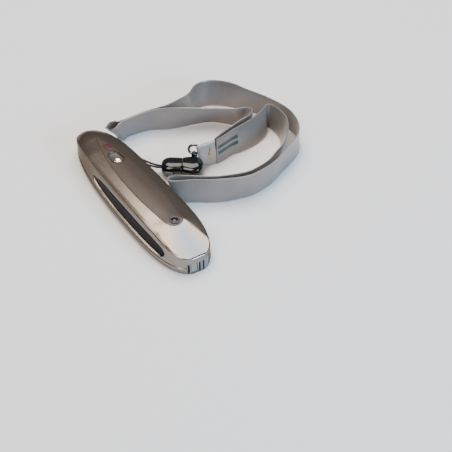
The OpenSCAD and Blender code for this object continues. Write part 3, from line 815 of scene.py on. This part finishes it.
def shell(name, places, outside, body="root"):
    """One silver shell of the pod, a loft of its sections at the places."""
    up = outside is upper_half
    rings = [closed_ring(y, outside(y), inner_half(y, up)) for y in places]
    return build(name, *loft(rings), body=body, slot="silver_paint")


def make_housings():
    """Upper shell, lower shell and battery cover, with their openings cut."""
    upper = shell("upper_housing_shell", STATIONS, upper_half)
    string_notch = block((-2.1, 51.4, 5.2), (2.1, REAR + 4, 8.6))
    cut(upper, [FRONT_CUT, string_notch])
    give(upper, SILVER)
    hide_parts("upper_housing")

    places = [y for y in STATIONS if y < COVER_Y] + [COVER_Y]
    lower = shell("lower_housing_shell", places, lower_half)
    wells = [post(x, y, SCREW_WELL_R, -1, 1.8) for x, y in SCREW_PLACES]
    sound = [post(x, SOUND_HOLE_Y, SOUND_HOLE_R, -1, 4, 20) for x in SOUND_HOLE_X]
    cut(lower, [FRONT_CUT] + wells + sound)
    give(lower, SILVER)
    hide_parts("lower_housing")

    places = [COVER_Y + 0.2] + [y for y in STATIONS if y > COVER_Y + 0.6]
    cover = shell("battery_cover_shell", places, lower_half, body="cover")
    grooves = []
    for k in range(5):
        y = COVER_GROOVE_Y + COVER_GROOVE_PITCH * k
        grooves.append(block((-5, y, -1), (5, y + 1, 0.4)))
    cut(cover, grooves)
    give(cover, SILVER)
    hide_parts("battery_cover")


def make_scoop():
    """Closed tool for the thumb scoop, which runs from the button towards the tail."""
    rings = []
    for z, grow in ((15.0, 0.0), (15.15, 0.3), (15.7, 0.65), (16.9, 1.1)):
        ring = []
        for a in turn(48):
            c, s = math.cos(a), math.sin(a)
            if s > 0:
                r = SCOOP_BACK_R + grow
                ring.append((r * c, BUTTON_Y + SCOOP_RUN + r * s, z))
            else:
                r = SCOOP_FRONT_R + grow
                ring.append((r * c, BUTTON_Y + r * s * 0.9, z))
        rings.append(ring)
    return loft(rings)


def make_panel():
    """Dark panel with a rounded edge, a thumb scoop, and holes for button and lamp."""
    proud = 0.2
    start = PANEL_FRONT + 0.1
    front = [start + PANEL_NOSE_R * (1 - math.cos(math.pi / 2 * k / 12)) for k in range(12)]
    middle = spread(start + PANEL_NOSE_R, PANEL_REAR - 4, 60)
    tip = [PANEL_REAR - 4 * (1 - k / 10) ** 1.6 - 0.15 for k in range(11)]
    rings = []
    for y in front + middle + tip:
        w = max(0.12, panel_half(y) - 0.09)
        fillet = min(0.32, w * 0.5)
        foot = min(top_at(w, y) - POCKET_DEPTH, 14.6)
        half = [(w, foot), (w, top_at(w, y) + proud - fillet)]
        for angle in (25, 50, 75):
            c, s = math.cos(math.radians(angle)), math.sin(math.radians(angle))
            half.append((w - fillet * (1 - c), top_at(w, y) + proud - fillet * (1 - s)))
        for f in (0.9, 0.75, 0.6, 0.45, 0.3, 0.15, 0.02):
            x = (w - fillet) * f
            half.append((x, top_at(x, y) + proud))
        rings.append([(x, y, z) for x, z in half] + [(-x, y, z) for x, z in reversed(half)])
    panel = build("top_panel_shell", *loft(rings), slot="panel", angle=38)
    half_x, half_y = MARK_HALF[0] + 0.07, MARK_HALF[1] + 0.07
    pocket = block((MARK[0] - half_x, MARK[1] - half_y, 15.35), (MARK[0] + half_x, MARK[1] + half_y, 18))
    holes = [post(0, BUTTON_Y, BUTTON_HOLE_R, 13, 17), post(0, LAMP_Y, LAMP_HOLE_R, 13, 17)]
    cut(panel, [make_scoop()] + holes + [pocket], angle=38)
    give(panel, PANEL)
    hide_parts("top_panel")


def make_mark():
    """Plain inlay behind the button, with softened edges."""
    rows = []
    side = MARK_HALF[0]
    for k in range(13):
        y = MARK[1] - MARK_HALF[1] + 2 * MARK_HALF[1] * k / 12
        ring = [(MARK[0] + side, y, 15.3)]
        for d in (side, 1.42, 1.0, 0.5, -0.5, -1.0, -1.42, -side):
            lift = 0.06 if abs(d) == side else 0.16
            if k in (0, 12):
                lift -= 0.12
            ring.append((MARK[0] + d, y, top_at(MARK[0] + d, y) + lift))
        ring.append((MARK[0] - side, y, 15.3))
        rows.append(ring)
    mark = build("panel_mark_inlay", *loft(rows), slot="inlay")
    give(mark, INLAY)
    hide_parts("panel_mark")


def arc(middle, z, radius, start, end, n):
    """Points of a rounded corner in (radius, height) about (middle, z), by angle in degrees."""
    angles = [math.radians(start + (end - start) * k / n) for k in range(n + 1)]
    return [(middle + radius * math.cos(a), z + radius * math.sin(a)) for a in angles]


def make_button():
    """Polished domed cap on a flange."""
    dome = []
    dome_r = 3.2
    for k in range(14):
        r = 1.95 * (1 - k / 14)
        dome.append((r, BUTTON_Z - dome_r + math.sqrt(dome_r ** 2 - r ** 2)))
    edge = dome[0][1]
    flange = [(0.02, 13.0), (2.85, 13.0), (2.9, 13.1), (2.9, 13.4), (2.8, 13.5), (2.2, 13.5)]
    rim = [(2.2, edge - 0.28), (2.18, edge - 0.15), (2.1, edge - 0.05)]
    profile = flange + rim + dome + [(0.02, BUTTON_Z)]
    button = build("test_button_cap", *lathe(profile, (0, BUTTON_Y)), body="button", slot="chrome_button")
    give(button, CHROME)
    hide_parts("test_button")


def make_lamp():
    """Raised ring with a domed dark lens in it."""
    z = LAMP_Z
    ring = [(1.55, 14.7), (2.25, 14.7), (2.3, z - 0.3)] + arc(1.98, z - 0.3, 0.3, 0, 90, 4)[1:]
    ring += arc(1.75, z - 0.2, 0.2, 90, 180, 3) + [(1.54, z - 0.6)]
    bezel = build("lamp_bezel_ring", *lathe(ring + [ring[0]], (0, LAMP_Y)), slot="lamp_ring")
    give(bezel, LAMP_RING)
    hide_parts("lamp_bezel")
    lens_r, lens_z = 1.5, 15.55
    profile = [(0.02, 11.6), (lens_r, 11.6), (lens_r, lens_z)]
    for a in range(10, 90, 10):
        profile.append((lens_r * math.cos(math.radians(a)), lens_z + 0.75 * math.sin(math.radians(a))))
    profile.append((0.02, z - 0.1))
    lamp = build("status_lamp_lens", *lathe(profile, (0, LAMP_Y)), slot="lamp_lens")
    give(lamp, LENS)
    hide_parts("status_lamp")


def make_grips():
    """Dark textured inlays with two long ribs, set back in the side recesses."""
    places = [-45.6, -45.2, -44.6, -43.8, -43, -42] + spread(-41, 14, 50) + spread(14, 23.2, 12) + [23.3]
    for side, name in ((-1, "left"), (1, "right")):
        rings = []
        for y in places:
            # Where the recess's lower edge is set low, the black inlay also covers lip in shade, so there
            # it is partly painted shade
            low, high, _ = recess(y)
            prof = wall_profile(y)
            low += 0.28 * min(1, (high - low) / 3)
            high -= 0.28 * min(1, (high - low) / 3)
            ring = []
            for k in range(17):
                f = k / 16
                z = low + (high - low) * f
                rib = sum(0.16 * math.exp(-((f - at) / 0.06) ** 2) for at in (0.33, 0.67))
                rib *= smooth_step(-45.5, -42, y) * (1 - smooth_step(17, 22, y))
                edge = 0.25 * (1 - math.sin(math.pi * f)) ** 6
                ring.append((side * (wall_at(prof, z) - 0.85 + rib - edge), y, z))
            ring += [(side * (wall_at(prof, z) - 1.45), y, z) for z in (high, (low + high) / 2, low)]
            rings.append(ring)
        grip = build(f"side_grip_{name}_inlay", *loft(rings), slot="grip", angle=40)
        give(grip, GRIP)
        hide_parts(f"side_grip_{name}")


def front_at(x, z):
    """Where the pod's front wall lies at a place on it."""
    return y_of_half(min(abs(x), 11.0)) + 0.35 * max(0.0, (1.6 - z) / 1.6) ** 2


def lines_between(a, b, edges):
    """30 even places from a to b, and two close ones at each edge."""
    places = {a + (b - a) * k / 29 for k in range(30)} | {a, b}
    for edge in edges:
        places |= {edge - 0.03, edge + 0.03}
    return sorted(p for p in places if a <= p <= b)


def bezel_depth(x, z):
    """How far the bezel's face lies behind the front wall: window, slots and rounded rim."""
    if abs(x - WINDOW_X) < WINDOW_HALF and WINDOW_Z[0] < z < WINDOW_Z[1]:
        return 1.1
    if any(abs(x - s) < SLOT_HALF for s in SLOT_PLACES) and SLOT_Z[0] < z < SLOT_Z[1]:
        return 1.4
    rim = min(BEZEL_HALF - abs(x), z - BEZEL_LOW, BEZEL_TOP - z)
    return -0.02 + 0.12 * max(0.0, 1 - rim / 0.2) ** 2


def make_bezel():
    """Grey bezel that follows the front wall, with sunk slots and a window opening."""
    edges = [WINDOW_X - WINDOW_HALF, WINDOW_X + WINDOW_HALF]
    edges += [s + d for s in SLOT_PLACES for d in (-SLOT_HALF, SLOT_HALF)]
    xs = lines_between(-BEZEL_HALF, BEZEL_HALF, edges)
    zs = lines_between(BEZEL_LOW, BEZEL_TOP, WINDOW_Z + SLOT_Z)
    points = [(x, front_at(x, z) + bezel_depth(x, z), z) for x in xs for z in zs]
    back = len(points)
    points += [(x, FRONT + 3.2, z) for x in xs for z in zs]
    nx, nz = len(xs), len(zs)
    faces = []
    for i in range(nx - 1):
        for j in range(nz - 1):
            a = i * nz + j
            faces.append((a, a + nz, a + nz + 1, a + 1))
            faces.append((back + a, back + a + 1, back + a + nz + 1, back + a + nz))
    for i in range(nx - 1):
        for j in (0, nz - 1):
            a = i * nz + j
            faces.append((a, back + a, back + a + nz, a + nz))
    for j in range(nz - 1):
        for i in (0, nx - 1):
            a = i * nz + j
            faces.append((a, a + 1, back + a + 1, back + a))
    bezel = build("sensor_bezel_plate", points, faces, slot="bezel_plastic", angle=35)
    give(bezel, BEZEL)
    # Faces sunk more than 0.2 behind the front wall get the near-black colour: painted shade in the slots
    bezel.data.materials.append(SLOT_PAINTED_SHADE)
    for polygon in bezel.data.polygons:
        c = polygon.center / MM
        sunk = front_at(c.x, c.z) + 0.2 < c.y < FRONT + 3.1
        if sunk and abs(c.x) < 5.3 and 0.9 < c.z < 5.9:
            polygon.material_index = 1
    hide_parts("sensor_bezel")


def make_window():
    """Clear window set just behind the bezel's face, with softened edges."""
    half = WINDOW_HALF - 0.06
    low, high = WINDOW_Z[0] + 0.06, WINDOW_Z[1] - 0.06
    rings = []
    for k in range(15):
        x = WINDOW_X - half + 2 * half * k / 14
        side_edge = 0.12 * (k in (0, 14))
        ring = []
        for z in (low, 1.36, 2.2, 3.2, 4.2, 5.0, 5.44, high):
            ring.append((x, front_at(x, z) + 0.12 + side_edge + 0.1 * (z in (low, high)), z))
        rings.append(ring + [(x, FRONT + 1.3, high), (x, FRONT + 1.3, low)])
    window = build("sensor_window_lens", *loft(rings), slot="window_glass")
    give(window, WINDOW)
    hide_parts("sensor_window")


make_housings()
make_panel()
make_mark()
make_button()
make_lamp()
make_grips()
make_bezel()
make_window()

# ---------------- clip, ring and sewn end

CLIP_AT = np.array([30.7, 8.7, 4.3])
CLIP_TURN = math.radians(-35)
RING_AT = np.array([5.7, 4.7, 7.6])
RING_R = 2.7
RING_WIRE = 0.65


def at_clip(p):
    """From the clip's own frame, whose long axis runs from string to ring."""
    x, y, z = p
    c, s = math.cos(CLIP_TURN), math.sin(CLIP_TURN)
    return (CLIP_AT[0] + x * c - y * s, CLIP_AT[1] + x * s + y * c, CLIP_AT[2] + z)


def lobe(name, places, groove):
    """A smooth moulding along the clip's axis, from (place, half width, half height) rows.

    groove is the stretch with a shallow groove along its top and bottom.
    """
    rings = []
    for u, w, h in smooth_route(places, 6):
        ring = []
        for a in turn(48):
            v = bulge(math.cos(a), 0.8) * max(0.02, w)
            z = bulge(math.sin(a), 0.8) * max(0.02, h)
            if groove[0] < u < groove[1]:
                z -= math.copysign(0.22, z) * math.exp(-(v / 0.5) ** 2) * (abs(z) > 0.5 * h)
            ring.append(at_clip((u, v, z)))
        rings.append(ring)
    return build(name, *loft(rings), slot="clip_plastic", angle=45)


def make_clip():
    """Two halves of the release clip, and the eye on one of them that holds the ring."""
    socket = lobe("clip_socket_shell", [
        (-10.65, 0.8, 0.7), (-10.4, 2.4, 1.8), (-9.7, 3.8, 2.7), (-8.4, 4.9, 3.4), (-6.6, 5.4, 3.8),
        (-4.6, 5.45, 3.85), (-2.6, 5.3, 3.85), (-1.0, 5.2, 3.85), (-0.3, 5.15, 3.8), (-0.06, 5.0, 3.7),
    ], groove=(-9, -1.2))
    points, faces = block((-8.75, -8.4, -1.55), (-4.05, -3.2, 0.95))
    cut(socket, [([at_clip(p) for p in points], faces)], angle=45)
    plug = lobe("clip_plug_shell", [
        (0.06, 5.1, 3.75), (0.3, 5.3, 3.9), (0.9, 5.55, 4.0), (2.6, 6.0, 4.1), (4.6, 6.3, 4.15),
        (6.6, 6.3, 4.1), (8.4, 5.6, 3.8), (9.7, 4.2, 3.1), (10.4, 2.6, 2.0), (10.65, 0.9, 0.8),
    ], groove=(1.2, 7.5))
    stem = []
    for z, radius in ((1.6, 1.5), (3.4, 1.45), (4.6, 1.5), (5.4, 1.35), (6.0, 0.9), (6.2, 0.3)):
        u, v = RING_AT[0], 4.0 + 0.7 * min(1.0, (z - 1.6) / 3.3)
        stem.append([at_clip((u + radius * math.cos(a), v + radius * math.sin(a), z)) for a in turn(24)])
    eye = build("clip_plug_eye", *loft(stem), slot="clip_plastic", angle=50)
    for piece, node in ((eye, "clip_plug"), (socket, "clip_socket"), (plug, "clip_plug")):
        give(piece, CLIP)
        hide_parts(node)
    return socket, plug, eye


def make_clip_tab():
    """Small tab that is pressed to release the clip."""
    rows = []
    for v, grow in ((-5.9, -0.35), (-5.75, -0.1), (-5.5, 0), (-4.35, 0)):
        ring = []
        for a in turn(32):
            u = -6.4 + bulge(math.cos(a), 0.5) * (2.2 + grow)
            z = -0.3 + bulge(math.sin(a), 0.5) * (1.1 + grow)
            ring.append(at_clip((u, v, z)))
        rows.append(ring)
    tab = build("clip_release_key", *loft(rows), body="clip_tab", slot="tab_plastic")
    give(tab, CLIP_TAB)
    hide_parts("clip_release_tab")
    return tab


def make_ring():
    """Wire ring that stands in the clip's eye."""
    rings = []
    for a in turn(72):
        ring = []
        for b in turn(20):
            r = RING_R + RING_WIRE * math.cos(b)
            offset = np.array([r * math.cos(a), RING_WIRE * math.sin(b), r * math.sin(a)])
            ring.append(at_clip(RING_AT + offset))
        rings.append(ring)
    rings.append(rings[0])
    piece = build("clip_ring_wire", *loft(rings, caps=False), slot="ring_metal", angle=60)
    give(piece, DARK_STEEL)
    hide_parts("clip_ring")
    return piece


TAB_START = np.array([39.6, 8.0])
TAB_END = np.array([49.2, 6.9])
TAB_UP = upright(-2.6, -0.4)
TAB_HALF_T = 1.1


def tab_frame(f):
    """Middle of the sewn strap at a fraction of its length, and the direction out of its face."""
    x, y = TAB_START + f * (TAB_END - TAB_START)
    run = unit(np.array([*(TAB_END - TAB_START), 0.0]))
    return np.array([x, y, TAB_UP[2] * RIBBON_W / 2 + FLOOR_GAP]), unit(np.cross(run, TAB_UP))


def make_sewn_end():
    """Two folded layers sewn together, gathered towards the ring."""
    rings = []
    weave = []
    steps = 16
    length = (TAB_END - TAB_START)[0]
    for i in range(steps + 1):
        f = i / steps
        middle, side = tab_frame(f)
        half_w = RIBBON_W / 2 * (0.9 + 0.09 * smooth_step(0, 0.4, f))
        half_t = TAB_HALF_T * (0.72 + 0.2 * math.sin(math.pi * f) - 0.25 * (i in (0, steps)))
        ring = []
        for face in (1, -1):
            for k in range(17):
                g = face * (-1 + 2 * k / 16)
                waist = 0.06 * math.cos(g * 9) * (1 - f)
                t = half_t * min(1.0, 6 * (1.06 - abs(g))) + waist
                ring.append(middle + half_w * g * TAB_UP + face * t * side)
                weave.append((f * length, half_w * g, face))
        rings.append(ring)
    tab = build("sewn_tab_fabric", *loft(rings), slot="sewn_fabric", angle=55)
    set_weave(tab, weave)
    give(tab, SEWN)
    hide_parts("sewn_tab")
    return tab


def make_staple():
    """Bent brass wire pressed on the strap as a shallow V."""
    wire_r = 0.36
    line = []
    for k in range(25):
        f = -1 + k / 12
        middle, side = tab_frame(0.72 - 0.16 * (1 - abs(f)))
        line.append(middle + 3.9 * f * TAB_UP + (TAB_HALF_T + 0.02) * side)
    rings = []
    for p, t in zip(line, np.gradient(np.array(line), axis=0)):
        t = unit(t)
        s = unit(np.cross(t, (0.13, 0.27, 0.95)))
        u = np.cross(s, t)
        rings.append([p + wire_r * (math.cos(a) * s + math.sin(a) * u) for a in turn(10)])
    staple = build("ribbon_staple_wire", *loft(rings), slot="staple_brass", angle=60)
    give(staple, BRASS)
    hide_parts("ribbon_staple")
    return staple


socket, plug, eye = make_clip()
clip_tab = make_clip_tab()
clip_ring = make_ring()
sewn_end = make_sewn_end()
staple = make_staple()

# ---------------- inner parts kept from CAD

KEPT = (
    (BLACK, ("switch_plunger", "tact_switch", "control_chip", "amplifier_chip", "buzzer",
             "battery_holder")),
    (STEEL, ("magnetic_head", "battery_spring", "battery_contact", "battery_cell_1",
             "battery_cell_2", "battery_cell_3", "housing_screws", "lanyard_pin")),
    (WINDOW, ("infrared_emitter",)),
    (LENS, ("infrared_detector",)),
    (BOARD, ("circuit_board",)),
)
for mat, nodes in KEPT:
    for node in nodes:
        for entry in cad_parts[node].material_slots:
            entry.material = mat

# ---------------- floor and light

FLOOR_HALF = 4000
corners = [(x * FLOOR_HALF, y * FLOOR_HALF, 0) for x, y in ((-1, -1), (1, -1), (1, 1), (-1, 1))]
floor = add_mesh("floor", corners, [(0, 1, 2, 3)])
floor_mat, _, floor_shader, _ = nodes_of("floor_pale")
floor_shader.inputs["Base Color"].default_value = (0.9, 0.9, 0.9, 1)
floor_shader.inputs["Roughness"].default_value = 0.7
give(floor, floor_mat)

world = bpy.data.worlds.new("studio")
world.use_nodes = True
background = world.node_tree.nodes["Background"]
background.inputs["Color"].default_value = (0.46, 0.405, 0.36, 1)
background.inputs["Strength"].default_value = 0.42
bpy.context.scene.world = world


def softbox(name, place, aim, size, power, colour):
    """A rectangular area light; places and sizes are in metres, power in watts."""
    data = bpy.data.lights.new(name, "AREA")
    data.shape = "RECTANGLE"
    data.size, data.size_y = size
    data.energy = power
    data.color = colour
    aimed(data, place, aim)


# Two warm boxes and a narrow blue one overhead, a blue one in front, and one that lights the floor
BEIGE = (1.0, 0.86, 0.73)
softbox("overhead_left", (0.055, 0.42, 1.05), (0.055, 0.42, 0), (0.58, 1.05), 14, BEIGE)
softbox("overhead_right", (0.61, 0.27, 1.05), (0.61, 0.27, 0), (0.24, 0.75), 4.3, BEIGE)
softbox("strip", (0.415, 0.27, 1.05), (0.415, 0.27, 0), (0.14, 0.75), 2.8, (0.24, 0.58, 1.0))
softbox("front", (0.3, -1.25, 0.5), (0.03, 0, 0), (0.7, 0.35), 24, (0.36, 0.66, 1.0))
softbox("floor_wash", (-1.1, -0.6, 1.5), (0, 0, 0), (0.9, 0.9), 20, (1.0, 0.92, 0.86))
